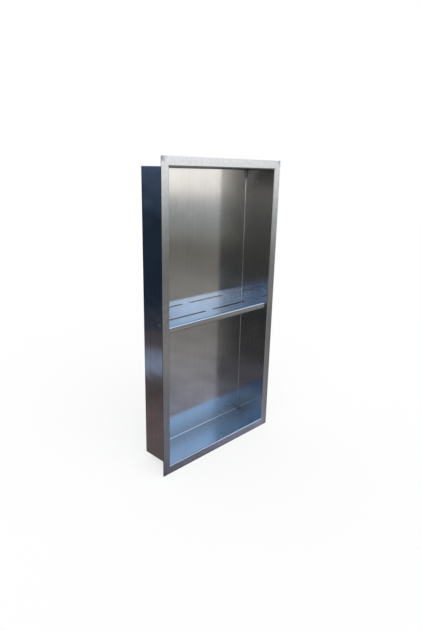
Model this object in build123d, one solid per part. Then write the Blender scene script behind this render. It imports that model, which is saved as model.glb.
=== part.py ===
"""Recessed shower niche: a folded stainless steel box with a tiling flange and one welded shelf.

The open front faces -Y, the box runs back along +Y into the wall, and +Z is up. The origin is in the
middle of the opening, in the plane where the back of the flange meets the wall.
"""

import os

from build123d import *

# Sheet metal
SHEET = 1.2                   # thickness of the body and of the shelf
INSIDE_BEND = 1.8             # radius on the hollow side of every fold
OUTSIDE_BEND = INSIDE_BEND + SHEET

# Body
OPENING_WIDTH = 305.0         # between the inner faces of the side walls
OPENING_HEIGHT = 610.0        # between floor and ceiling
DEPTH = 83.0                  # front of the flange to the outside of the back
FLANGE_REACH = 19.0           # inner wall face to the outer edge of the flange
FLANGE_CORNER = 1.5           # rounding of the flange's four outer corners
BACK_STRIP = 12.0             # share of the back that each folded side brings with it
SEAM_DRESSING = 0.8           # rounding ground onto the welded seams outside the box

# Shelf
SHELF_TOP = 1.8               # height of its upper face above the middle of the opening
SHELF_SETBACK = 6.0           # front of the flange to the front of the lip
LIP_HEIGHT = 13.0             # upper face to the lower edge of the lip
LIP_TAPER = 7.0               # how much the lip's lower edge is cut back at each end
SHELF_CORNER = 3.0            # rounding that clears the folds at the back of the niche

# Drain slots in the shelf
SLOT_LENGTH = 109.0           # end to end
SLOT_WIDTH = 7.0
SLOT_SPACING = 131.0          # between the middles of the two slots

# Weld tabs at the ends of the shelf
TAB_WIDTH = 8.0
TAB_SPACING = 26.0            # between the middles of the two tabs at one end
TAB_CLEARANCE = 0.1           # around a tab in the wall slot that takes it

# Places worked out from the sizes above
HALF_WIDTH = OPENING_WIDTH / 2
HALF_HEIGHT = OPENING_HEIGHT / 2
FLANGE_FRONT = -SHEET
BACK_OUTSIDE = FLANGE_FRONT + DEPTH
BACK_INSIDE = BACK_OUTSIDE - SHEET
LIP_FRONT = FLANGE_FRONT + SHELF_SETBACK
SHELF_MIDDLE = (LIP_FRONT + BACK_INSIDE) / 2


def sheet_section(points, radii):
    """Section of a folded sheet: its visible face follows the points, with the metal on their left."""
    visible_face = FilletPolyline(*points, radius=radii)
    return make_face(offset(visible_face, amount=SHEET, side=Side.LEFT))


def folded_side(half_opening, half_length):
    """One wall at +X with its flange strip and its share of the back, mitred at both ends."""
    outer = half_opening + FLANGE_REACH
    inner = half_opening - BACK_STRIP
    section = sheet_section(
        [
            (inner, BACK_INSIDE),
            (half_opening, BACK_INSIDE),
            (half_opening, FLANGE_FRONT),
            (outer, FLANGE_FRONT),
        ],
        [INSIDE_BEND, OUTSIDE_BEND],
    )
    long_end = half_length + FLANGE_REACH
    short_end = half_length - BACK_STRIP
    strip = extrude(section, amount=long_end, both=True)
    mitres = Polyline(
        (inner, 0, -short_end),
        (outer, 0, -long_end),
        (outer, 0, long_end),
        (inner, 0, short_end),
        close=True,
    )
    return strip & extrude(make_face(mitres), amount=2 * DEPTH, both=True)


def tab_middles():
    """Places along the depth of the niche where a shelf tab passes through a side wall."""
    return [SHELF_MIDDLE - TAB_SPACING / 2, SHELF_MIDDLE + TAB_SPACING / 2]


def niche_body():
    """The whole box, folded and welded, with its corners dressed and slots for the shelf's tabs."""
    body = Pos(0, BACK_INSIDE + SHEET / 2, 0) * Box(
        OPENING_WIDTH - 2 * BACK_STRIP, SHEET, OPENING_HEIGHT - 2 * BACK_STRIP
    )
    for turn in (0, 180):
        body += Rot(0, turn, 0) * folded_side(HALF_WIDTH, HALF_HEIGHT)
    for turn in (90, 270):
        body += Rot(0, turn, 0) * folded_side(HALF_HEIGHT, HALF_WIDTH)

    along_depth = body.edges().filter_by(Axis.Y)
    flange_corners = along_depth.filter_by(lambda edge: abs(edge.center().X) > HALF_WIDTH + FLANGE_REACH / 2)
    body = fillet(flange_corners, FLANGE_CORNER)
    along_depth = body.edges().filter_by(Axis.Y)
    outside_seams = along_depth.filter_by(
        lambda edge: HALF_WIDTH + SHEET / 2 < abs(edge.center().X) < HALF_WIDTH + 2 * SHEET
    )
    body = fillet(outside_seams, SEAM_DRESSING)

    for side in (-1, 1):
        for depth in tab_middles():
            body -= Pos(side * (HALF_WIDTH + SHEET / 2), depth, SHELF_TOP - SHEET / 2) * Box(
                3 * SHEET, TAB_WIDTH + 2 * TAB_CLEARANCE, SHEET + 2 * TAB_CLEARANCE
            )
    return body


def shelf():
    """The shelf between the side walls, with its folded lip, drain slots and weld tabs."""
    section = sheet_section(
        [(BACK_INSIDE, SHELF_TOP), (LIP_FRONT, SHELF_TOP), (LIP_FRONT, SHELF_TOP - LIP_HEIGHT)],
        [OUTSIDE_BEND],
    )
    sheet = extrude(Plane.YZ * section, amount=HALF_WIDTH, both=True)
    back_corners = sheet.edges().filter_by(Axis.Z).group_by(Axis.Y)[-1]
    sheet = fillet(back_corners, SHELF_CORNER)

    lip_bottom = SHELF_TOP - LIP_HEIGHT
    taper_start = SHELF_TOP - OUTSIDE_BEND
    taper_end = HALF_WIDTH - LIP_TAPER
    for side in (-1, 1):
        taper = Polyline(
            (side * HALF_WIDTH, 0, taper_start),
            (side * HALF_WIDTH, 0, lip_bottom),
            (side * taper_end, 0, lip_bottom),
            close=True,
        )
        sheet -= extrude(make_face(taper), amount=DEPTH, both=True)
        sheet -= Pos(side * SLOT_SPACING / 2, SHELF_MIDDLE, SHELF_TOP) * extrude(
            SlotOverall(SLOT_LENGTH, SLOT_WIDTH), amount=2 * SHEET, both=True
        )
        for depth in tab_middles():
            sheet += Pos(side * (HALF_WIDTH + SHEET / 2), depth, SHELF_TOP - SHEET / 2) * Box(
                SHEET, TAB_WIDTH, SHEET
            )
    return sheet


def main():
    os.makedirs("parts", exist_ok=True)
    export_step(niche_body(), "parts/niche_body.step")
    export_step(shelf(), "parts/shelf.step")


if __name__ == "__main__":
    main()
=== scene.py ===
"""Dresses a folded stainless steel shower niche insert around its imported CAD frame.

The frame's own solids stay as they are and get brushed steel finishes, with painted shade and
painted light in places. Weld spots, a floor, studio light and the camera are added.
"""

import math
from collections import namedtuple

import bpy
from bpy.props import FloatProperty, FloatVectorProperty, PointerProperty
from mathutils import Euler, Matrix, Vector


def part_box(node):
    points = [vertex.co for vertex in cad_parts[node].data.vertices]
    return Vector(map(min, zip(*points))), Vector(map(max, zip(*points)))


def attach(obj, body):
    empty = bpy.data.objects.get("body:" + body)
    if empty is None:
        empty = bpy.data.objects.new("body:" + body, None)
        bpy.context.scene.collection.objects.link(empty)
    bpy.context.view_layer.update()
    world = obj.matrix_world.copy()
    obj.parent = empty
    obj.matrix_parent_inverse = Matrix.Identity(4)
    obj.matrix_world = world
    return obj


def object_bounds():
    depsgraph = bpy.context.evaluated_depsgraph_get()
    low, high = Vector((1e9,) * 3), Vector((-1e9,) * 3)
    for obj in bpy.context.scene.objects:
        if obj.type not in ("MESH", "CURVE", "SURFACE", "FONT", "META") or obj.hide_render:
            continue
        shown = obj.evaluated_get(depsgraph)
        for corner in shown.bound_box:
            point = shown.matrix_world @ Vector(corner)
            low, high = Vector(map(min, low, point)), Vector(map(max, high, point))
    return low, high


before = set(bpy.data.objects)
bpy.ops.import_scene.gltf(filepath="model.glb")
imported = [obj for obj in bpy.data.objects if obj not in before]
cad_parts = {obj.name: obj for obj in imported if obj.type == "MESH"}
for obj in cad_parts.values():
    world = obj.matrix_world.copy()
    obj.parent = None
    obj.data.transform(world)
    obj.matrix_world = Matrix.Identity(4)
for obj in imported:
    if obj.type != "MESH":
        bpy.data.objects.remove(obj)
CAD_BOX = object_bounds()
BODY_LOW, BODY_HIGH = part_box("niche_body")
SHELF_LOW, SHELF_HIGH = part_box("shelf")

bl_info = {
    "name": "Shower Niche Insert",
    "version": (1, 0, 0),
    "blender": (4, 5, 0),
    "location": "View3D > Sidebar > Niche",
    "description": "Brushed steel finishes, weld spots and a studio for a folded steel shower niche",
    "category": "Object",
}

# Places worked out from the frame
SHEET = -BODY_LOW.y                         # the flange stands one sheet in front of the wall
HALF_WIDTH = SHELF_HIGH.x - SHEET           # the tabs end flush with the outside of the box
FLANGE_REACH = BODY_HIGH.x - HALF_WIDTH
HALF_HEIGHT = BODY_HIGH.z - FLANGE_REACH
BACK_INSIDE = BODY_HIGH.y - SHEET
REAR_FOLD = (HALF_WIDTH, BACK_INSIDE, 0.0)  # fold of the back and the right wall, at mid height
TAB_SPACING = 0.026
FRONT_TAB = (SHELF_LOW.y + SHELF_HIGH.y - TAB_SPACING) / 2
TAB_LEVEL = SHELF_HIGH.z - SHEET / 2
GROUND = CAD_BOX[0].z

# Limits for telling faces apart
FLANGE_LIMIT = 0.0002         # depth up to which a point is on the flange
SKIN = 0.0005                 # allowance around the faces of the box
FLAT_ON = 0.7                 # part of the normal from which a face counts as facing that way
SLANTED = 0.4                 # the same for the folded faces of the shelf
LIP_DEPTH = 0.01              # from the front of the shelf to well behind the fold of its lip

# Directions of the brush lines, as colours
ACROSS = (1.0, 0.0, 0.0, 1.0)
INWARD = (0.0, 1.0, 0.0, 1.0)
UPWARD = (0.0, 0.0, 1.0, 1.0)

# Brushed finish
STREAK_SHADE = 0.055          # how far streaks lighten or darken the sheet
BAND_ROUGHNESS = 0.015        # how far the bands change its roughness
MARK_ROUGHNESS = 0.08         # what a handling mark adds to it
MARK_SIZE = 0.06
WAVE_HEIGHT = 0.00012
LINE_HEIGHT = 0.00002
ANISOTROPY = 0.6
BACK_DENTS, SIDE_DENTS = 1.8, 4.5           # height of the dents as a share of the waves
OUTSIDE_CONTRAST = 2.8                      # strength of the streaks on the outside of the box

# What a place adds to the roughness of the brushed sheet
FLANGE_ROUGHNESS = 0.05
FLOOR_ROUGHNESS = 0.08
FOOT_ROUGHNESS = 0.12
BODY_DULL_ROUGHNESS = 0.35
SHELF_ROUGHNESS = 0.04
SHELF_DULL_ROUGHNESS = 0.30

# Share of its brightness that a place loses, to dull wear or to painted shade
DRESSED_LOSS = 0.30           # ground corners of the flange
SEAM_LOSS = 0.12              # mitre seams of the flange
CORNER_SHADE_LOSS = 0.38             # painted shade in the rear corners of the box
FOOT_SHADE_LOSS = 0.15              # painted shade at the foot of the inside, towards the back
CUT_LOSS = 0.85               # cut faces of the shelf
LIP_EDGE_SHADE_LOSS = 0.60               # painted shade line along the lower edge of its lip
UNDER_SHADE_LOSS = 0.65             # painted shade on its underside and the back of its lip

# Start and end of the fade of a dull or a painted-shade place
DRESSED_REACH = (0.013, 0.026)              # from a corner of the flange
SEAM_REACH = (0.0002, 0.0012)               # from a mitre
CORNER_SHADE_REACH = (0.002, 0.018)                # from a rear corner below
UPPER_CORNER_SHADE = 0.030                         # how much further it reaches in the upper corners
FOLD_REACH = (0.002, 0.005)                 # from a rear fold, for the painted shade at the top of the folds
FOLD_TOP = (HALF_HEIGHT - 0.037, HALF_HEIGHT - 0.013)
FOOT_ZONE_TOP = (0.005 - HALF_HEIGHT, 0.080 - HALF_HEIGHT)
FOOT_ZONE_DEPTH = (0.030, 0.078)

# Weld spots
REAR_SHRINK = (-0.80, -0.30, -0.30)         # change in size from the front spot to the rear one
SPOT_WANDER = (0.0, 0.0022, 0.0012)         # how far the outline of a spot wanders
SPOT_NOISE = 420.0

# Gap that keeps the sheets of the stage apart
STAGE_GAP = 0.0002

# Painted shade on the inner side walls: share of their brightness taken off, by height above mid height, in
# place of the tones of their reflections
WALL_PAINTED_SHADE = tuple((level, (share, share, share)) for level, share in (
    (-0.30, 0.33), (-0.25, 0.34), (-0.215, 0.45), (-0.165, 0.37), (-0.11, 0.25), (-0.06, 0.24),
    (-0.025, 0.34), (0.015, 0.22), (0.055, 0.19), (0.10, 0.25), (0.20, 0.29), (0.28, 0.29)))

# Colours of the cards that the steel mirrors, by the sine of the angle above level
FRONT_CARDS = (
    (-1.00, (0.290, 0.300, 0.390)),
    (-0.70, (0.285, 0.282, 0.310)),
    (-0.45, (0.290, 0.285, 0.282)),
    (-0.30, (0.245, 0.243, 0.245)),
    (-0.20, (0.280, 0.273, 0.260)),
    (-0.17, (0.235, 0.230, 0.220)),
    (-0.13, (0.181, 0.173, 0.159)),
    (-0.105, (0.168, 0.167, 0.155)),
    (-0.08, (0.275, 0.280, 0.266)),
    (-0.055, (0.285, 0.310, 0.322)),
    (-0.034, (0.425, 0.445, 0.455)),
    (-0.018, (0.980, 0.950, 0.920)),
    (0.03, (1.200, 1.170, 1.140)),
    (0.10, (1.400, 1.450, 1.530)),
    (0.21, (1.200, 1.350, 1.620)),
    (0.257, (1.000, 1.220, 1.620)),
    (0.30, (0.600, 0.980, 1.600)),
    (0.47, (0.415, 0.735, 1.320)),
    (0.70, (0.500, 0.680, 1.020)),
    (1.00, (0.850, 0.940, 1.120)),
)
LEFT_CARDS = (
    (-1.00, (0.097, 0.094, 0.117)),
    (-0.75, (0.080, 0.077, 0.086)),
    (-0.51, (0.072, 0.074, 0.082)),
    (-0.41, (0.050, 0.054, 0.058)),
    (-0.30, (0.070, 0.080, 0.094)),
    (-0.20, (0.140, 0.164, 0.205)),
    (-0.13, (0.085, 0.090, 0.094)),
    (-0.09, (0.088, 0.092, 0.090)),
    (0.00, (0.138, 0.142, 0.140)),
    (0.10, (0.240, 0.330, 0.500)),
    (0.25, (0.262, 0.432, 0.825)),
    (0.44, (0.045, 0.225, 0.660)),
    (0.75, (0.200, 0.320, 0.600)),
    (1.00, (0.850, 0.940, 1.120)),
)
REAR_CARDS = (
    (-1.00, (0.135, 0.110, 0.110)),
    (-0.65, (0.140, 0.110, 0.118)),
    (-0.54, (0.095, 0.078, 0.080)),
    (-0.47, (0.110, 0.098, 0.115)),
    (-0.42, (0.255, 0.300, 0.430)),
    (-0.38, (0.220, 0.260, 0.370)),
    (-0.34, (0.110, 0.095, 0.105)),
    (-0.27, (0.042, 0.050, 0.070)),
    (-0.20, (0.018, 0.027, 0.050)),
    (-0.06, (0.018, 0.031, 0.052)),
    (0.00, (0.060, 0.086, 0.148)),
    (0.10, (0.110, 0.160, 0.260)),
    (0.30, (0.250, 0.360, 0.600)),
    (1.00, (0.140, 0.230, 0.430)),
)

# Colours of the dark flag, by height above mid height
FLAG_TONES = (
    (-0.32, (0.070, 0.072, 0.074)),
    (-0.22, (0.088, 0.091, 0.091)),
    (-0.10, (0.110, 0.114, 0.110)),
    (0.01, (0.150, 0.153, 0.148)),
    (0.10, (0.205, 0.207, 0.202)),
    (0.18, (0.260, 0.262, 0.260)),
    (0.24, (0.110, 0.110, 0.108)),
    (0.29, (0.022, 0.022, 0.022)),
    (0.40, (0.017, 0.017, 0.017)),
)

# Kinds of group sockets
NUMBER = "NodeSocketFloat"
VECTOR = "NodeSocketVector"

# Sockets that a material shares between its functions
Surface = namedtuple("Surface", "position x y z facing_x facing_y facing_z")
BodyZones = namedtuple(
    "BodyZones", "side_reach end_reach past_mitre on_flange inside outside level sideways")


class NicheSteelSettings(bpy.types.PropertyGroup):
    """Finish of the brushed sheet."""

    inside_tint: FloatVectorProperty(
        name="Inside tint", description="Colour that the inside of the box reflects",
        subtype="COLOR", size=3, default=(0.690, 0.680, 0.660))
    flange_tint: FloatVectorProperty(
        name="Flange tint", description="Colour that the front of the flange reflects",
        subtype="COLOR", size=3, default=(0.612, 0.615, 0.618))
    outside_tint: FloatVectorProperty(
        name="Outside tint", description="Colour that the outside of the box reflects",
        subtype="COLOR", size=3, default=(0.640, 0.635, 0.625))
    # painted highlight: a pale blue colour on the fold behind the floor of the box
    fold_highlight_tint: FloatVectorProperty(
        name="Fold tint", description="Colour that the fold behind the floor of the box reflects",
        subtype="COLOR", size=3, default=(0.86, 0.95, 1.0))
    shelf_tint: FloatVectorProperty(
        name="Shelf tint", description="Colour that the steel of the shelf reflects",
        subtype="COLOR", size=3, default=(0.650, 0.650, 0.645))
    roughness: FloatProperty(
        name="Roughness", description="Mean roughness of the brushed face", subtype="FACTOR",
        min=0.0, max=1.0, default=0.110)
    grain_spacing: FloatProperty(
        name="Grain spacing", description="Distance from one brush line to the next",
        unit="LENGTH", default=0.0004)
    grain_length: FloatProperty(
        name="Grain length", description="Length of a brush line", unit="LENGTH", default=0.03)
    band_spacing: FloatProperty(
        name="Band spacing", description="Width of the wide bands that the belt leaves",
        unit="LENGTH", default=0.0045)
    band_length: FloatProperty(
        name="Band length", description="Length of the wide bands", unit="LENGTH", default=0.35)
    ripple_size: FloatProperty(
        name="Ripple size", description="Distance between the soft waves of the thin sheet",
        unit="LENGTH", default=0.13)
    dent_size: FloatProperty(
        name="Dent size", description="Distance between the small dents in the outside of the box",
        unit="LENGTH", default=0.028)
    opening: FloatVectorProperty(
        name="Opening", description="Half the width and half the height of the opening",
        unit="LENGTH", size=2, default=(HALF_WIDTH, HALF_HEIGHT))


class NicheWeldSettings(bpy.types.PropertyGroup):
    """Spots where the ends of the shelf tabs are welded to the outside of the box."""

    wall_face: FloatProperty(
        name="Wall face", description="Distance from the middle to the outside of a side wall",
        unit="LENGTH", default=SHELF_HIGH.x)
    first: FloatProperty(
        name="First spot", description="Depth of the front tab behind the wall face",
        unit="LENGTH", default=FRONT_TAB)
    spacing: FloatProperty(
        name="Spacing", description="Distance from the front tab to the rear tab",
        unit="LENGTH", default=TAB_SPACING)
    level: FloatProperty(
        name="Level", description="Height of the middle of the tabs",
        unit="LENGTH", default=TAB_LEVEL)
    size: FloatVectorProperty(
        name="Size", description="Height above the wall, half length and half width of a front spot",
        unit="LENGTH", size=3, default=(0.0004, 0.0050, 0.0021))
    tint: FloatVectorProperty(
        name="Tint", description="Colour of the dressed weld metal", subtype="COLOR", size=3,
        default=(0.60, 0.585, 0.56))


class NicheStageSettings(bpy.types.PropertyGroup):
    """Floor, studio light and camera."""

    floor_tone: FloatVectorProperty(
        name="Floor tone", description="Colour of the plain floor", subtype="COLOR", size=3,
        default=(0.30, 0.30, 0.30))
    floor_glow: FloatProperty(
        name="Floor glow", description="Share of white that the floor shows by itself",
        default=0.70)
    room_light: FloatProperty(
        name="Room light", description="Strength of the even light of the room", default=0.55)
    lamp_strength: FloatProperty(
        name="Lamp strength", description="Strength of the soft overhead lamp", default=1.7)
    lamp_spread: FloatProperty(
        name="Lamp spread", description="Angle that the soft overhead lamp fills",
        unit="ROTATION", default=math.radians(70.0))
    lamp_tilt: FloatVectorProperty(
        name="Lamp tilt", description="Turn of the lamp about the X and the Y axis",
        unit="ROTATION", size=2, default=(math.radians(28.0), math.radians(-20.0)))
    tent_radius: FloatProperty(
        name="Tent radius", description="Distance to the cards that the steel mirrors",
        unit="LENGTH", default=12.0)
    flag_turn: FloatProperty(
        name="Flag turn", description="Angle to the left at which the dark flag stands off the rear fold",
        unit="ROTATION", default=math.radians(49.22))
    flag_distance: FloatProperty(
        name="Flag distance", description="Distance from the rear fold to the dark flag",
        unit="LENGTH", default=1.7)
    flag_reach: FloatVectorProperty(
        name="Flag reach", description="How far the flag reaches to its left and to its right",
        unit="LENGTH", size=2, default=(0.70, 0.15))
    flag_top: FloatProperty(
        name="Flag top", description="Height of the flag above the middle of the niche",
        unit="LENGTH", default=0.41)
    camera_place: FloatVectorProperty(
        name="Camera place", description="Where the lens stands", subtype="TRANSLATION",
        unit="LENGTH", size=3, default=(-0.7514, -0.6999, 0.3003))
    camera_turn: FloatVectorProperty(
        name="Camera turn", description="Yaw to the right, pitch up and roll of the camera",
        unit="ROTATION", size=3,
        default=(math.radians(45.501), math.radians(-16.402), math.radians(1.188)))
    lens: FloatProperty(
        name="Lens", description="Focal length on a frame 36 mm high", default=28.106)


def add_node(tree, kind, inputs=None, **settings):
    """Adds a node, sets its own values, then sets or links its inputs by name or number."""
    made = tree.nodes.new(kind)
    for name, value in settings.items():
        setattr(made, name, value)
    for key, value in (inputs or {}).items():
        if isinstance(value, bpy.types.NodeSocket):
            tree.links.new(value, made.inputs[key])
        else:
            made.inputs[key].default_value = value
    return made


def math_node(tree, operation, *values, clamp=False):
    """Result of a Math node on numbers or sockets."""
    made = add_node(tree, "ShaderNodeMath", dict(enumerate(values)), operation=operation)
    made.use_clamp = clamp
    return made.outputs[0]


def product(tree, first, *others):
    """Numbers or sockets multiplied together."""
    for other in others:
        first = math_node(tree, "MULTIPLY", first, other)
    return first


def total(tree, first, *others):
    """Numbers or sockets added together."""
    for other in others:
        first = math_node(tree, "ADD", first, other)
    return first


def remainder(tree, share):
    """What a share leaves of one."""
    return math_node(tree, "SUBTRACT", 1.0, share)


def size_of(tree, value):
    """A number without its sign."""
    return math_node(tree, "ABSOLUTE", value)


def vector_node(tree, operation, *values):
    """Result of a Vector Math node on vectors or sockets."""
    made = add_node(tree, "ShaderNodeVectorMath", dict(enumerate(values)), operation=operation)
    return made.outputs["Value" if operation in {"DOT_PRODUCT", "LENGTH"} else "Vector"]


def scaled(tree, vector, factor):
    """A vector times a number or a socket."""
    made = add_node(tree, "ShaderNodeVectorMath", {0: vector, "Scale": factor}, operation="SCALE")
    return made.outputs["Vector"]


def joined(tree, **axes):
    """A vector made from numbers or sockets for X, Y and Z."""
    return add_node(tree, "ShaderNodeCombineXYZ", axes).outputs["Vector"]


def parts(tree, vector):
    """The X, Y and Z of a vector."""
    made = add_node(tree, "ShaderNodeSeparateXYZ", {0: vector})
    return made.outputs["X"], made.outputs["Y"], made.outputs["Z"]


def ranged(tree, value, low, high, to_low=0.0, to_high=1.0, smooth=True):
    """A value mapped from one range to another and held inside it."""
    made = add_node(
        tree, "ShaderNodeMapRange",
        {"Value": value, "From Min": low, "From Max": high, "To Min": to_low, "To Max": to_high},
        interpolation_type="SMOOTHSTEP" if smooth else "LINEAR")
    return made.outputs["Result"]


def fading(tree, value, low, high, start=1.0):
    """A share that fades to nothing while a value goes from low to high."""
    return ranged(tree, value, low, high, start, 0.0)


def between(tree, value, rise, fall):
    """One from the end of a soft rise to the start of a soft fall, and zero outside."""
    return product(tree, ranged(tree, value, *rise), fading(tree, value, *fall))


def mixed(tree, factor, first, second):
    """Two colours mixed by a factor."""
    made = add_node(tree, "ShaderNodeMix", {0: factor, 6: first, 7: second}, data_type="RGBA")
    return made.outputs[2]


def blended(tree, factor, first, second):
    """Two numbers mixed by a factor."""
    return add_node(tree, "ShaderNodeMix", {0: factor, 2: first, 3: second}).outputs[0]


def noise(tree, vector, detail=2.0, roughness=0.5):
    """Value of a noise at a vector that is already in noise lengths."""
    made = add_node(
        tree, "ShaderNodeTexNoise",
        {"Vector": vector, "Scale": 1.0, "Detail": detail, "Roughness": roughness})
    return made.outputs["Fac"]


def colour_ramp(tree, value, stops):
    """Colours from the lowest to the highest stop."""
    low, high = stops[0][0], stops[-1][0]
    ramp = tree.nodes.new("ShaderNodeValToRGB")
    elements = ramp.color_ramp.elements
    while len(elements) < len(stops):
        elements.new(1.0)
    for element, (level, colour) in zip(elements, stops):
        element.position = (level - low) / (high - low)
        element.color = (*colour, 1.0)
    tree.links.new(ranged(tree, value, low, high, smooth=False), ramp.inputs["Fac"])
    return ramp.outputs["Color"]


def new_group(name, inputs, outputs):
    """An empty shader group with named sockets, and its two end nodes."""
    tree = bpy.data.node_groups.new(name, "ShaderNodeTree")
    for label, kind, default in inputs:
        socket = tree.interface.new_socket(label, in_out="INPUT", socket_type=kind)
        socket.default_value = default
    for label in outputs:
        tree.interface.new_socket(label, in_out="OUTPUT", socket_type=NUMBER)
    return tree, tree.nodes.new("NodeGroupInput"), tree.nodes.new("NodeGroupOutput")


def brush_lines_group():
    """Brush lines that run along a direction: fine lines, wide bands and a height for a bump."""
    tree, start, end = new_group(
        "brush_lines",
        [("Position", VECTOR, (0, 0, 0)), ("Direction", VECTOR, (0, 0, 1)),
         ("Spacing", NUMBER, 0.0004), ("Length", NUMBER, 0.03),
         ("Band Spacing", NUMBER, 0.009), ("Band Length", NUMBER, 0.35)],
        ["Lines", "Bands", "Height"])
    position, direction = start.outputs["Position"], start.outputs["Direction"]
    along = scaled(tree, direction, vector_node(tree, "DOT_PRODUCT", position, direction))
    across = vector_node(tree, "SUBTRACT", position, along)

    def stretched(spacing, length):
        """The position in noise lengths, drawn out along the direction."""
        wide = scaled(tree, across, math_node(tree, "DIVIDE", 1.0, start.outputs[spacing]))
        long = scaled(tree, along, math_node(tree, "DIVIDE", 1.0, start.outputs[length]))
        return vector_node(tree, "ADD", wide, long)

    lines = noise(tree, stretched("Spacing", "Length"), detail=3.0)
    bands = noise(tree, stretched("Band Spacing", "Band Length"), detail=4.0, roughness=0.6)
    height = total(tree, product(tree, lines, 0.35), product(tree, bands, 0.65))
    for label, value in (("Lines", lines), ("Bands", bands), ("Height", height)):
        tree.links.new(value, end.inputs[label])
    return tree


def handling_marks_group():
    """Faint wipe marks and prints that dull a polished sheet here and there."""
    tree, start, end = new_group(
        "handling_marks", [("Position", VECTOR, (0, 0, 0)), ("Size", NUMBER, MARK_SIZE)], ["Marks"])
    place = scaled(tree, start.outputs["Position"],
                   math_node(tree, "DIVIDE", 1.0, start.outputs["Size"]))
    patches = ranged(tree, noise(tree, place, detail=3.0, roughness=0.55), 0.50, 0.74)
    wiped = noise(tree, scaled(tree, place, 4.0), detail=4.0, roughness=0.65)
    tree.links.new(product(tree, patches, wiped), end.inputs["Marks"])
    return tree


def sheet_ripple_group():
    """Height of the slow waves that a thin folded sheet keeps."""
    tree, start, end = new_group(
        "sheet_ripple", [("Position", VECTOR, (0, 0, 0)), ("Size", NUMBER, 0.13)], ["Height"])
    place = scaled(tree, start.outputs["Position"],
                   math_node(tree, "DIVIDE", 1.0, start.outputs["Size"]))
    tree.links.new(noise(tree, place, detail=0.0), end.inputs["Height"])
    return tree


def shader_group(name):
    """The named effect, built the first time that a finish asks for it."""
    makers = {
        "brush_lines": brush_lines_group,
        "handling_marks": handling_marks_group,
        "sheet_ripple": sheet_ripple_group,
    }
    return bpy.data.node_groups.get(name) or makers[name]()


def place_group(tree, name, **inputs):
    """A group node in a material, with its inputs set or linked by name."""
    labelled = {label.replace("_", " ").title(): value for label, value in inputs.items()}
    return add_node(tree, "ShaderNodeGroup", labelled, node_tree=shader_group(name))


def bare_material(name):
    """A material with nothing but its output, its node tree and the socket for its shader."""
    material = bpy.data.materials.new(name)
    material.use_nodes = True
    tree = material.node_tree
    tree.nodes.clear()
    return material, tree, tree.nodes.new("ShaderNodeOutputMaterial").inputs["Surface"]


def steel_material(name):
    """A material of bare metal, its node tree and its shader."""
    material, tree, shown = bare_material(name)
    steel = add_node(tree, "ShaderNodeBsdfPrincipled", {"Metallic": 1.0})
    tree.links.new(steel.outputs["BSDF"], shown)
    return material, tree, steel


def surface_of(tree):
    """Sockets for the place of the shaded point and for the way its face looks."""
    position = tree.nodes.new("ShaderNodeTexCoord").outputs["Object"]
    normal = tree.nodes.new("ShaderNodeNewGeometry").outputs["Normal"]
    return Surface(position, *parts(tree, position), *parts(tree, normal))


def brushed_finish(tree, steel, settings, position, direction, grain, dents=0.0):
    """Links brush lines, marks and ripple to a steel shader, and returns its shade and roughness.

    The lines are drawn along the direction, and reflections are drawn out across the grain.
    """
    lines = place_group(
        tree, "brush_lines", position=position, direction=direction,
        spacing=settings.grain_spacing, length=settings.grain_length,
        band_spacing=settings.band_spacing, band_length=settings.band_length)
    marks = place_group(tree, "handling_marks", position=position, size=MARK_SIZE)
    ripple = place_group(tree, "sheet_ripple", position=position, size=settings.ripple_size)
    dent = place_group(tree, "sheet_ripple", position=position, size=settings.dent_size)

    streaks = total(tree, product(tree, lines.outputs["Lines"], 0.4),
                    product(tree, lines.outputs["Bands"], 0.6))
    shade = ranged(tree, streaks, 0.3, 0.7, 1.0 - STREAK_SHADE, 1.0 + STREAK_SHADE, smooth=False)
    rough = ranged(tree, lines.outputs["Bands"], 0.25, 0.75, settings.roughness - BAND_ROUGHNESS,
                   settings.roughness + BAND_ROUGHNESS, smooth=False)
    rough = total(tree, rough, product(tree, marks.outputs["Marks"], MARK_ROUGHNESS))

    wavy = math_node(tree, "MULTIPLY_ADD", dent.outputs["Height"], dents, ripple.outputs["Height"])
    waves = add_node(tree, "ShaderNodeBump", {
        "Strength": 1.0, "Distance": WAVE_HEIGHT, "Height": wavy})
    brushed = add_node(tree, "ShaderNodeBump", {
        "Strength": 0.25, "Distance": LINE_HEIGHT,
        "Height": lines.outputs["Height"], "Normal": waves.outputs["Normal"]})
    tree.links.new(brushed.outputs["Normal"], steel.inputs["Normal"])
    steel.inputs["Anisotropic"].default_value = ANISOTROPY
    normal = tree.nodes.new("ShaderNodeNewGeometry").outputs["Normal"]
    tree.links.new(vector_node(tree, "CROSS_PRODUCT", normal, grain), steel.inputs["Tangent"])
    return shade, rough


def body_zones(tree, at, settings):
    """Distances past the opening, and masks for the parts of the body."""
    half_width, half_height = settings.opening
    side_reach = math_node(tree, "SUBTRACT", size_of(tree, at.x), half_width)
    end_reach = math_node(tree, "SUBTRACT", size_of(tree, at.z), half_height)
    on_flange = math_node(tree, "LESS_THAN", at.y, FLANGE_LIMIT)
    within = math_node(tree, "LESS_THAN", math_node(tree, "MAXIMUM", side_reach, end_reach), SKIN)
    inside = product(tree, within, math_node(tree, "LESS_THAN", at.y, BODY_HIGH.y - SKIN))
    return BodyZones(
        side_reach=side_reach,
        end_reach=end_reach,
        past_mitre=math_node(tree, "SUBTRACT", end_reach, side_reach),
        on_flange=on_flange,
        inside=inside,
        outside=remainder(tree, math_node(tree, "MAXIMUM", inside, on_flange)),
        level=math_node(tree, "GREATER_THAN", size_of(tree, at.facing_z), FLAT_ON),
        sideways=size_of(tree, at.facing_x))


def body_grain(tree, zones):
    """Direction of the brush lines, and the grain that reflections are drawn out across."""
    along = mixed(tree, zones.level, UPWARD, INWARD)
    strip = mixed(tree, math_node(tree, "GREATER_THAN", zones.past_mitre, 0.0), UPWARD, ACROSS)
    return mixed(tree, zones.on_flange, along, strip), mixed(tree, zones.on_flange, along, ACROSS)


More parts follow.
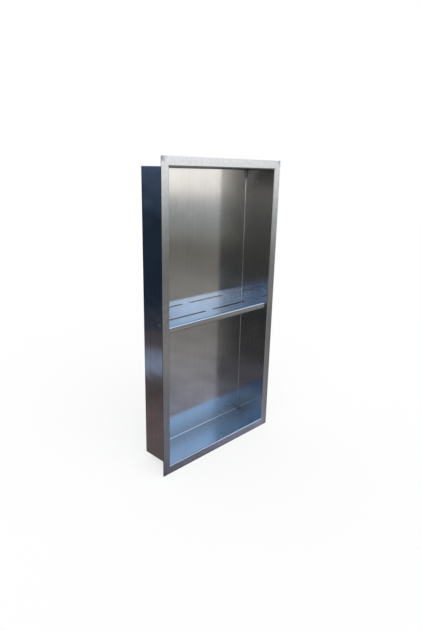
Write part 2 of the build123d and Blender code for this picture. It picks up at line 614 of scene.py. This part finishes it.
def body_tint(tree, at, zones, settings):
    """Colour of the outside, the flange and the inside, with a painted blue highlight on the fold behind the
    floor.
    """
    tint = mixed(tree, zones.on_flange, (*settings.outside_tint, 1.0), (*settings.flange_tint, 1.0))
    tint = mixed(tree, zones.inside, tint, (*settings.inside_tint, 1.0))
    # painted blue highlight on the fold behind the floor
    fold_highlight = math_node(tree, "COMPARE", at.facing_z, 0.55, 0.40)
    at_back = math_node(tree, "GREATER_THAN", at.y, BACK_INSIDE / 2)
    return mixed(tree, product(tree, fold_highlight, at_back, zones.inside), tint, (*settings.fold_highlight_tint, 1.0))


def side_wall_painted_shade(tree, at, zones):
    """Painted shade on an inner side wall, by height, less a painted light at the front above shelf and
    floor.
    """
    side_wall = product(tree, math_node(tree, "GREATER_THAN", zones.sideways, FLAT_ON), zones.inside)
    above_shelf = between(tree, at.z, (-0.020, 0.0), (0.050, 0.070))
    above_floor = fading(tree, at.z, 0.050 - HALF_HEIGHT, 0.080 - HALF_HEIGHT)
    painted_front_light = product(tree, math_node(tree, "MAXIMUM", above_shelf, above_floor),
                         fading(tree, at.y, 0.0, 0.027, start=0.22))
    # painted shade by height, less the painted light near the front edge
    painted_wall_shade = math_node(tree, "SUBTRACT", colour_ramp(tree, at.z, WALL_PAINTED_SHADE), painted_front_light)
    return product(tree, side_wall, painted_wall_shade)


def dressed_corners(tree, zones, blotch):
    """Brightness lost at the ground corners of the flange and at their mitre seams."""
    off_corner = joined(
        tree, X=math_node(tree, "SUBTRACT", FLANGE_REACH, zones.side_reach),
        Y=math_node(tree, "SUBTRACT", FLANGE_REACH, zones.end_reach))
    reach = math_node(tree, "MULTIPLY_ADD", blotch, 0.022, vector_node(tree, "LENGTH", off_corner))
    dressed = product(tree, fading(tree, reach, *DRESSED_REACH, start=DRESSED_LOSS), zones.on_flange)
    seam = fading(tree, size_of(tree, zones.past_mitre), *SEAM_REACH, start=SEAM_LOSS)
    least_reach = math_node(tree, "MINIMUM", zones.side_reach, zones.end_reach)
    at_corner = math_node(tree, "GREATER_THAN", least_reach, SKIN)
    seam = product(tree, seam, at_corner, zones.on_flange, ranged(tree, blotch, 0.35, 0.65))
    return math_node(tree, "ADD", dressed, seam, clamp=True)


def corner_painted_shade(tree, at, zones, blotch):
    """Painted shade in the rear corners of the box, larger above, and at the top of its rear folds, where it
    dims their highlight.
    """
    behind = math_node(tree, "SUBTRACT", at.y, BACK_INSIDE)
    from_corner = joined(tree, X=zones.side_reach, Y=behind, Z=zones.end_reach)
    reach = math_node(tree, "MULTIPLY_ADD", blotch, 0.012, vector_node(tree, "LENGTH", from_corner))
    shade_start, shade_end = CORNER_SHADE_REACH
    upper = math_node(tree, "GREATER_THAN", at.z, 0.0)
    shade_end = math_node(tree, "MULTIPLY_ADD", upper, UPPER_CORNER_SHADE, shade_end)
    corner_shade = product(tree, fading(tree, reach, shade_start, shade_end), zones.inside)
    from_fold = vector_node(tree, "LENGTH", joined(tree, X=zones.side_reach, Y=behind))
    fold_top = product(tree, fading(tree, from_fold, *FOLD_REACH), ranged(tree, at.z, *FOLD_TOP))
    return math_node(tree, "MULTIPLY_ADD", fold_top, 0.9, corner_shade)


def foot_shade_zone(tree, at, zones):
    """Where painted shade and more roughness go at the foot of the inside, towards the back."""
    return product(tree, fading(tree, at.z, *FOOT_ZONE_TOP), ranged(tree, at.y, *FOOT_ZONE_DEPTH), zones.inside)


def body_material(settings):
    """Steel of the body: brushed up the walls and along each strip of the flange, dressed at the corners,
    with painted shade inside and a painted highlight on the rear floor fold.
    """
    material, tree, steel = steel_material("brushed_body_steel")
    at = surface_of(tree)
    zones = body_zones(tree, at, settings)
    direction, grain = body_grain(tree, zones)
    dents = ranged(tree, zones.sideways, 1.0 - FLAT_ON, FLAT_ON, BACK_DENTS, SIDE_DENTS)
    dents = product(tree, zones.outside, dents)
    shade, rough = brushed_finish(tree, steel, settings, at.position, direction, grain, dents)

    contrast = ranged(tree, zones.outside, 0.0, 1.0, 1.0, OUTSIDE_CONTRAST, smooth=False)
    shade = math_node(tree, "MULTIPLY_ADD", math_node(tree, "SUBTRACT", shade, 1.0), contrast, 1.0)
    blotch = noise(tree, scaled(tree, at.position, 130.0), detail=3.0, roughness=0.6)
    mottle = product(tree, ranged(tree, blotch, 0.3, 0.7, -0.06, 0.06, smooth=False), zones.on_flange)
    # painted shade at the foot of the inside, in the rear corners and on the side walls joins the streaks
    # and the wear
    foot_zone = foot_shade_zone(tree, at, zones)
    corner_shade = product(tree, corner_painted_shade(tree, at, zones, blotch), CORNER_SHADE_LOSS)
    dull_and_shade = math_node(tree, "ADD", dressed_corners(tree, zones, blotch), corner_shade, clamp=True)

    shade = product(tree, shade, remainder(tree, side_wall_painted_shade(tree, at, zones)),
                    total(tree, mottle, 1.0), remainder(tree, product(tree, foot_zone, FOOT_SHADE_LOSS)),
                    remainder(tree, dull_and_shade))
    rough = total(tree, rough, product(tree, zones.on_flange, FLANGE_ROUGHNESS),
                  product(tree, zones.inside, zones.level, FLOOR_ROUGHNESS),
                  product(tree, dull_and_shade, BODY_DULL_ROUGHNESS), product(tree, foot_zone, FOOT_ROUGHNESS))
    tint = body_tint(tree, at, zones, settings)
    tree.links.new(scaled(tree, tint, shade), steel.inputs["Base Color"])
    tree.links.new(rough, steel.inputs["Roughness"])
    return material


def shelf_material(settings):
    """Steel of the shelf, brushed along its length, with dark cut faces, a painted shade line along the
    lower edge of the lip, painted shade on its underside and the back of the lip, and painted light on the
    front of the lip.
    """
    material, tree, steel = steel_material("brushed_shelf_steel")
    at = surface_of(tree)
    direction = joined(tree, X=1.0)
    shade, rough = brushed_finish(tree, steel, settings, at.position, direction, direction)
    steep = math_node(tree, "LESS_THAN", size_of(tree, at.facing_z), SLANTED)
    cut = product(tree, steep, math_node(tree, "GREATER_THAN", at.y, SHELF_LOW.y + LIP_DEPTH))
    # painted shade on the underside of the shelf and on the back of its lip
    under_shade = math_node(tree, "LESS_THAN", at.facing_z, -SLANTED)
    under_shade = math_node(tree, "MAXIMUM", under_shade, math_node(tree, "GREATER_THAN", at.facing_y, SLANTED))
    # painted shade line along the lower edge of the lip
    lip_edge_shade = fading(tree, at.z, SHELF_LOW.z + SHEET, SHELF_LOW.z + 2 * SHEET)
    dull_and_shade = math_node(tree, "ADD", product(tree, cut, CUT_LOSS), product(tree, lip_edge_shade, LIP_EDGE_SHADE_LOSS), clamp=True)
    dull_and_shade = math_node(tree, "MAXIMUM", dull_and_shade, product(tree, under_shade, UNDER_SHADE_LOSS))
    # painted light: the front face of the lip is made up to 15 percent lighter
    lip_front_light = ranged(tree, at.facing_y, -0.95, -0.6, 1.15, 1.0)
    shade = product(tree, shade, lip_front_light, remainder(tree, dull_and_shade))
    rough = total(tree, rough, SHELF_ROUGHNESS, product(tree, dull_and_shade, SHELF_DULL_ROUGHNESS))
    tree.links.new(scaled(tree, tuple(settings.shelf_tint), shade), steel.inputs["Base Color"])
    tree.links.new(rough, steel.inputs["Roughness"])
    return material


def weld_material(tint):
    """Dressed weld metal, a little darker than the sheet and crossed by sanding lines."""
    material, tree, steel = steel_material("dressed_weld_steel")
    position = tree.nodes.new("ShaderNodeTexCoord").outputs["Object"]
    lines = place_group(
        tree, "brush_lines", position=position, direction=joined(tree, Y=1.0),
        spacing=0.0003, length=0.004, band_spacing=0.0012, band_length=0.006)
    marks = place_group(tree, "handling_marks", position=position, size=0.004)
    darker = [part * 0.82 for part in tint]
    base = mixed(tree, lines.outputs["Bands"], (*darker, 1.0), (*tint, 1.0))
    rough = math_node(tree, "MULTIPLY_ADD", marks.outputs["Marks"], 0.2, 0.26)
    bump = add_node(tree, "ShaderNodeBump", {
        "Strength": 0.5, "Distance": 0.00005, "Height": lines.outputs["Height"]})
    tree.links.new(base, steel.inputs["Base Color"])
    tree.links.new(rough, steel.inputs["Roughness"])
    tree.links.new(bump.outputs["Normal"], steel.inputs["Normal"])
    return material


def spot_rows(tree, start):
    """A front spot and a smaller rear spot on each side wall, as instances."""
    drop = add_node(tree, "GeometryNodeMeshUVSphere", {"Segments": 32, "Rings": 16, "Radius": 1.0})
    rank = tree.nodes.new("GeometryNodeInputIndex").outputs["Index"]
    shrunk = vector_node(tree, "ADD", scaled(tree, REAR_SHRINK, rank), (1.0, 1.0, 1.0))
    size = vector_node(tree, "MULTIPLY", start.outputs["Size"], shrunk)
    step = joined(tree, Y=start.outputs["Spacing"])
    join = tree.nodes.new("GeometryNodeJoinGeometry")
    for side in (-1.0, 1.0):
        first = joined(tree, X=product(tree, start.outputs["Wall Face"], side),
                       Y=start.outputs["First"], Z=start.outputs["Level"])
        row = add_node(tree, "GeometryNodeMeshLine",
                       {"Count": 2, "Start Location": first, "Offset": step})
        spots = add_node(tree, "GeometryNodeInstanceOnPoints",
                         {"Points": row.outputs["Mesh"], "Instance": drop.outputs["Mesh"], "Scale": size})
        tree.links.new(spots.outputs["Instances"], join.inputs["Geometry"])
    return join.outputs["Geometry"]


def weld_spot_tree(material):
    """Geometry nodes: flat, uneven oval spots at the tab ends of both side walls."""
    tree = bpy.data.node_groups.new("weld_spots", "GeometryNodeTree")
    tree.interface.new_socket("Geometry", in_out="INPUT", socket_type="NodeSocketGeometry")
    for label, kind in (("Wall Face", NUMBER), ("First", NUMBER), ("Spacing", NUMBER),
                        ("Level", NUMBER), ("Size", VECTOR)):
        tree.interface.new_socket(label, in_out="INPUT", socket_type=kind)
    tree.interface.new_socket("Geometry", in_out="OUTPUT", socket_type="NodeSocketGeometry")
    start, end = tree.nodes.new("NodeGroupInput"), tree.nodes.new("NodeGroupOutput")
    whole = add_node(tree, "GeometryNodeRealizeInstances", {"Geometry": spot_rows(tree, start)})
    wobble = add_node(tree, "ShaderNodeTexNoise", {"Scale": SPOT_NOISE, "Detail": 1.0})
    shift = vector_node(tree, "SUBTRACT", wobble.outputs["Color"], (0.5, 0.5, 0.5))
    moved = add_node(tree, "GeometryNodeSetPosition", {
        "Geometry": whole.outputs["Geometry"],
        "Offset": vector_node(tree, "MULTIPLY", shift, SPOT_WANDER)})
    smooth = add_node(tree, "GeometryNodeSetShadeSmooth", {"Geometry": moved.outputs["Geometry"]})
    finish = add_node(tree, "GeometryNodeSetMaterial",
                      {"Geometry": smooth.outputs["Geometry"], "Material": material})
    tree.links.new(finish.outputs["Geometry"], end.inputs["Geometry"])
    return tree


def plain_mesh_from_nodes(name, tree, values):
    """Runs a geometry nodes tree on an empty mesh and keeps the result as a plain object."""
    holder = bpy.data.objects.new(name, bpy.data.meshes.new(name + "_start"))
    bpy.context.scene.collection.objects.link(holder)
    modifier = holder.modifiers.new("nodes", "NODES")
    modifier.node_group = tree
    for item in tree.interface.items_tree:
        if item.in_out == "INPUT" and item.name in values:
            modifier[item.identifier] = values[item.name]
    depsgraph = bpy.context.evaluated_depsgraph_get()
    mesh = bpy.data.meshes.new_from_object(holder.evaluated_get(depsgraph))
    holder.modifiers.remove(modifier)
    holder.data = mesh
    if not mesh.polygons:
        raise RuntimeError(f"{name} came out empty")
    return holder


def seen_directly(tree):
    """One for camera, glossy and transmission rays, so metal mirrors what the camera sees."""
    path = tree.nodes.new("ShaderNodeLightPath")
    seen = math_node(tree, "MAXIMUM", path.outputs["Is Camera Ray"], path.outputs["Is Glossy Ray"])
    return math_node(tree, "MAXIMUM", seen, path.outputs["Is Transmission Ray"])


def floor_material(stage):
    """Plain pale floor that takes the shadow of the niche."""
    material, tree, shown = bare_material("pale_floor")
    glow = add_node(tree, "ShaderNodeEmission", {
        "Strength": product(tree, seen_directly(tree), stage.floor_glow)})
    matte = add_node(tree, "ShaderNodeBsdfDiffuse", {"Color": (*stage.floor_tone, 1.0)})
    both = add_node(tree, "ShaderNodeAddShader", {0: matte.outputs[0], 1: glow.outputs[0]})
    tree.links.new(both.outputs[0], shown)
    return material


def lit_ground(tree, position, turn):
    """Share of the front light on the ground, which fades to the left and ends at the niche."""
    across, depth, _ = parts(tree, position)
    left_half = ranged(tree, across, -0.26, -0.06, 0.0, 0.5)
    right_half = ranged(tree, across, 0.08, 0.26, 0.0, 0.5)
    at_foot = product(tree, ranged(tree, depth, -0.22, -0.10),
                      ranged(tree, across, -0.05, 0.08, 0.0, 0.25))
    lit = math_node(tree, "ADD", total(tree, left_half, right_half), at_foot, clamp=True)
    beyond = product(tree, fading(tree, across, -0.14, -0.08),
                     ranged(tree, turn, -46.6, -38.6, smooth=False))
    lit = math_node(tree, "MAXIMUM", lit, beyond)
    near_edge = product(tree, between(tree, turn, (-44.0, -40.5), (-36.0, -30.0)),
                        fading(tree, depth, -0.21, -0.15, start=0.6))
    lit = math_node(tree, "MULTIPLY", lit, total(tree, near_edge, 1.0), clamp=True)
    return product(tree, lit, fading(tree, depth, -0.01, 0.02))


def lit_share(tree, position, height, turn, right, back):
    """Share of the front cards at a place, against the dark cards on the left and behind."""
    far = between(tree, height, (-0.14, -0.08), (0.04, 0.10))
    shifted = math_node(tree, "MULTIPLY_ADD", far, 20.0, turn)
    in_front = blended(tree, ranged(tree, height, 0.08, 0.16), ranged(tree, shifted, -46.0, -35.0),
                       ranged(tree, turn, -48.8, -45.0))
    in_front = blended(tree, fading(tree, height, -0.42, -0.32), in_front,
                       lit_ground(tree, position, turn))
    rear_half = math_node(tree, "GREATER_THAN", back, 0.0)
    return blended(tree, rear_half, in_front, ranged(tree, right, -0.3, 0.3))


def front_evenness(tree, height, turn):
    """Brightness of the front cards: each patch changes it over one range of turns and heights."""
    above_rim = product(tree, ranged(tree, height, -0.12, -0.08),
                        ranged(tree, height, 0.10, 0.20, 0.45, 0.95))
    ridge = total(tree, ranged(tree, turn, 39.0, 45.0, -0.45, 0.21, smooth=False),
                  ranged(tree, turn, 43.4, 46.0, 0.0, -0.65))
    under_rim = (-0.05, -0.03)
    patches = (
        # dim straight ahead, above the rim of the ground
        (fading(tree, size_of(tree, turn), 14.0, 28.0, start=-0.5), ranged(tree, height, -0.06, -0.03)),
        # slow fall to the right just above the rim
        (ranged(tree, turn, 38.0, 54.0, 0.14, -0.14, smooth=False),
         between(tree, height, (-0.03, -0.01), (0.1, 0.2))),
        # bright bands to the right and to the left just under the rim
        (ranged(tree, turn, 41.5, 50.0, 0.0, 0.45), between(tree, height, (-0.17, -0.13), under_rim)),
        (fading(tree, turn, 34.0, 37.5, start=0.30), between(tree, height, (-0.12, -0.09), under_rim)),
        # darker ground to the left, and a slow fall to the right close to the niche
        (fading(tree, turn, 31.0, 34.5, start=-0.15),
         between(tree, height, (-0.30, -0.25), (-0.14, -0.11))),
        (ranged(tree, turn, 10.0, 45.0, 0.08, -0.20, smooth=False), fading(tree, height, -0.30, -0.22)),
        # bright far left above the rim
        (fading(tree, turn, -44.0, -30.0), above_rim),
        # dim higher up, apart from a ridge to the right
        (ridge, between(tree, height, (0.15, 0.22), (0.36, 0.44))),
    )
    changes = [math_node(tree, "MULTIPLY_ADD", sideways, upward, 1.0) for sideways, upward in patches]
    return product(tree, *changes)


def tent_material():
    """Cards round the stage: pale and blue in front, dark on the left, brown and blue behind on the left.

    Heights are sines of the angle above level. Turns are degrees to the right of straight ahead.
    """
    material, tree, shown = bare_material("reflection_cards")
    position = tree.nodes.new("ShaderNodeTexCoord").outputs["Object"]
    heading = vector_node(tree, "NORMALIZE", position)
    height = parts(tree, heading)[2]
    from_fold = vector_node(tree, "SUBTRACT", position, REAR_FOLD)
    level = vector_node(tree, "MULTIPLY", from_fold, (1.0, 1.0, 0.0))
    right, back, _ = parts(tree, vector_node(tree, "NORMALIZE", level))
    turn = math_node(tree, "ARCTAN2", right, product(tree, back, -1.0))
    turn = math_node(tree, "DEGREES", turn)

    dark = mixed(tree, ranged(tree, back, -0.35, 0.0), colour_ramp(tree, height, LEFT_CARDS),
                 colour_ramp(tree, height, REAR_CARDS))
    rise = ranged(tree, turn, 41.5, 44.2, 0.0, 0.0028)
    front = colour_ramp(tree, total(tree, height, rise), FRONT_CARDS)
    front = scaled(tree, front, front_evenness(tree, height, turn))
    lit = lit_share(tree, position, height, turn, right, back)
    uneven = noise(tree, vector_node(tree, "MULTIPLY", heading, (7.0, 7.0, 18.0)), detail=3.0)
    uneven = ranged(tree, uneven, 0.3, 0.7, 0.86, 1.14, smooth=False)
    colour = scaled(tree, mixed(tree, lit, dark, front), uneven)
    glow = add_node(tree, "ShaderNodeEmission", {"Color": colour})
    tree.links.new(glow.outputs["Emission"], shown)
    return material


def flag_axes(stage):
    """Directions from the rear fold to the dark flag and along the flag to the right."""
    sine, cosine = math.sin(stage.flag_turn), math.cos(stage.flag_turn)
    return Vector((-sine, -cosine, 0.0)), Vector((cosine, -sine, 0.0))


def flag_material(stage):
    """Dark card with a soft edge that keeps the right wall of the niche dark."""
    material, tree, shown = bare_material("dark_flag")
    position = tree.nodes.new("ShaderNodeTexCoord").outputs["Object"]
    height = parts(tree, position)[2]
    from_fold = vector_node(tree, "SUBTRACT", position, REAR_FOLD)
    beside = vector_node(tree, "DOT_PRODUCT", from_fold, flag_axes(stage)[1])
    cover = product(tree, ranged(tree, beside, 0.07, 0.155, 1.0, 0.0, smooth=False),
                    fading(tree, height, 0.34, 0.40))
    left_side = ranged(tree, beside, -0.05, 0.0, 1.0, 0.68)
    right_side = ranged(tree, beside, 0.03, 0.10, 0.0, 0.55)
    low_right = product(tree, fading(tree, height, -0.06, 0.04, start=0.24),
                        ranged(tree, beside, 0.02, 0.06))
    evenness = product(tree, total(tree, left_side, right_side), total(tree, low_right, 1.0))
    colour = scaled(tree, colour_ramp(tree, height, FLAG_TONES), evenness)
    glow = add_node(tree, "ShaderNodeEmission", {"Color": colour})
    clear = tree.nodes.new("ShaderNodeBsdfTransparent")
    both = add_node(tree, "ShaderNodeMixShader",
                    {0: cover, 1: clear.outputs["BSDF"], 2: glow.outputs["Emission"]})
    tree.links.new(both.outputs["Shader"], shown)
    return material


def stage_mesh(name, vertices, faces, material):
    """A stage object made from points and faces."""
    mesh = bpy.data.meshes.new(name)
    mesh.from_pydata(vertices, [], faces)
    mesh.materials.append(material)
    thing = bpy.data.objects.new(name, mesh)
    bpy.context.scene.collection.objects.link(thing)
    return thing


def tent_shell(radius, ground, rings=48, segments=96):
    """Points and faces of a dome that ends in a flat ground sheet."""
    points = []
    for ring in range(rings + 1):
        rise = math.pi * (ring / rings - 0.5)
        for segment in range(segments):
            turn = 2 * math.pi * segment / segments
            x = radius * math.cos(rise) * math.cos(turn)
            y = radius * math.cos(rise) * math.sin(turn)
            points.append((x, y, max(ground, radius * math.sin(rise))))
    faces = []
    for ring in range(rings):
        for segment in range(segments):
            beside = (segment + 1) % segments
            low, high = ring * segments, (ring + 1) * segments
            faces.append((low + segment, high + segment, high + beside, low + beside))
    return points, faces


def add_floor(stage):
    """Adds the square floor that the niche stands on."""
    reach = stage.tent_radius
    corners = [(x * reach, y * reach, GROUND) for x, y in ((-1, -1), (1, -1), (1, 1), (-1, 1))]
    stage_mesh("floor", corners, [(0, 1, 2, 3)], floor_material(stage))


def add_cards(stage):
    """Adds the tent of cards and the dark flag, which show in mirrors only."""
    points, faces = tent_shell(stage.tent_radius, GROUND + STAGE_GAP)
    tent = stage_mesh("reflection_tent", points, faces, tent_material())
    ahead, side = flag_axes(stage)
    foot = Vector(REAR_FOLD) + stage.flag_distance * ahead
    left, right = foot - stage.flag_reach[0] * side, foot + stage.flag_reach[1] * side
    low, high = Vector((0, 0, GROUND + 2 * STAGE_GAP)), Vector((0, 0, stage.flag_top))
    corners = [left + low, right + low, right + high, left + high]
    flag = stage_mesh("dark_flag", corners, [(0, 1, 2, 3)], flag_material(stage))
    for card in (tent, flag):
        card.visible_camera = card.visible_diffuse = card.visible_shadow = False
        card.visible_transmission = card.visible_volume_scatter = False


def add_room_light(scene, stage):
    """Adds the even light of the room, which the camera sees as plain white."""
    world = bpy.data.worlds.new("studio")
    world.use_nodes = True
    scene.world = world
    tree = world.node_tree
    backdrop = next(node for node in tree.nodes if node.type == "BACKGROUND")
    backdrop.inputs["Color"].default_value = (1.0, 1.0, 1.0, 1.0)
    strength = ranged(tree, seen_directly(tree), 0.0, 1.0, stage.room_light, 1.0, smooth=False)
    tree.links.new(strength, backdrop.inputs["Strength"])


def add_lamp(scene, stage):
    """Adds the soft overhead lamp, which the steel doesn't mirror."""
    lamp = bpy.data.lights.new("overhead_lamp", "SUN")
    lamp.energy, lamp.angle = stage.lamp_strength, stage.lamp_spread
    holder = bpy.data.objects.new("overhead_lamp", lamp)
    holder.rotation_euler = Euler((*stage.lamp_tilt, 0.0))
    holder.visible_glossy = False
    scene.collection.objects.link(holder)


def add_camera(scene, stage):
    """Adds the camera at the angle of the photo."""
    lens = bpy.data.cameras.new("photo_camera")
    lens.sensor_fit, lens.sensor_height, lens.lens = "VERTICAL", 36.0, stage.lens
    camera = bpy.data.objects.new("photo_camera", lens)
    yaw, pitch, roll = stage.camera_turn
    aim = Euler((math.pi / 2 + pitch, 0.0, -yaw)).to_matrix() @ Matrix.Rotation(roll, 3, "Z")
    camera.matrix_world = Matrix.Translation(Vector(stage.camera_place)) @ aim.to_4x4()
    scene.collection.objects.link(camera)
    scene.camera = camera


class NICHE_OT_finish_body(bpy.types.Operator):
    """Gives the folded body its brushed steel."""

    bl_idname = "niche.finish_body"
    bl_label = "Finish Body"

    def execute(self, context):
        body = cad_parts["niche_body"]
        body.material_slots[0].material = body_material(context.scene.niche_steel)
        return {"FINISHED"}


class NICHE_OT_finish_shelf(bpy.types.Operator):
    """Gives the shelf its brushed steel."""

    bl_idname = "niche.finish_shelf"
    bl_label = "Finish Shelf"

    def execute(self, context):
        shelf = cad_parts["shelf"]
        shelf.material_slots[0].material = shelf_material(context.scene.niche_steel)
        return {"FINISHED"}


class NICHE_OT_weld_spots(bpy.types.Operator):
    """Adds the dressed weld spots over the ends of the shelf tabs."""

    bl_idname = "niche.weld_spots"
    bl_label = "Weld Spots"

    def execute(self, context):
        weld = context.scene.niche_weld
        tree = weld_spot_tree(weld_material(weld.tint))
        spots = plain_mesh_from_nodes("weld_spots", tree, {
            "Wall Face": weld.wall_face, "First": weld.first,
            "Spacing": weld.spacing, "Level": weld.level, "Size": tuple(weld.size)})
        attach(spots, "root")
        return {"FINISHED"}


class NICHE_OT_stage(bpy.types.Operator):
    """Adds the floor, the cards that the steel mirrors, the room light, the lamp and the camera."""

    bl_idname = "niche.stage"
    bl_label = "Stage"

    def execute(self, context):
        scene, stage = context.scene, context.scene.niche_stage
        scene.view_settings.view_transform = "Standard"
        add_floor(stage)
        add_cards(stage)
        add_room_light(scene, stage)
        add_lamp(scene, stage)
        add_camera(scene, stage)
        return {"FINISHED"}


class NICHE_PT_panel(bpy.types.Panel):
    """Lists the steps that dress the niche, and their settings."""

    bl_idname = "NICHE_PT_panel"
    bl_label = "Shower Niche Insert"
    bl_space_type = "VIEW_3D"
    bl_region_type = "UI"
    bl_category = "Niche"

    def draw(self, context):
        for step in STEPS:
            self.layout.operator(step.bl_idname)
        for group in (context.scene.niche_steel, context.scene.niche_weld, context.scene.niche_stage):
            column = self.layout.column()
            for name in group.bl_rna.properties.keys():
                if name not in {"rna_type", "name"}:
                    column.prop(group, name)


STEPS = (NICHE_OT_finish_body, NICHE_OT_finish_shelf, NICHE_OT_weld_spots, NICHE_OT_stage)
CLASSES = (NicheSteelSettings, NicheWeldSettings, NicheStageSettings, *STEPS, NICHE_PT_panel)


def register():
    """Registers the classes and hangs the settings on the scene."""
    for kind in CLASSES:
        bpy.utils.register_class(kind)
    bpy.types.Scene.niche_steel = PointerProperty(type=NicheSteelSettings)
    bpy.types.Scene.niche_weld = PointerProperty(type=NicheWeldSettings)
    bpy.types.Scene.niche_stage = PointerProperty(type=NicheStageSettings)


def unregister():
    """Takes the settings off the scene and unregisters the classes."""
    for name in ("niche_steel", "niche_weld", "niche_stage"):
        delattr(bpy.types.Scene, name)
    for kind in reversed(CLASSES):
        bpy.utils.unregister_class(kind)


def main():
    """Runs every step."""
    register()
    bpy.ops.niche.finish_body()
    bpy.ops.niche.finish_shelf()
    bpy.ops.niche.weld_spots()
    bpy.ops.niche.stage()


if __name__ == "__main__":
    main()
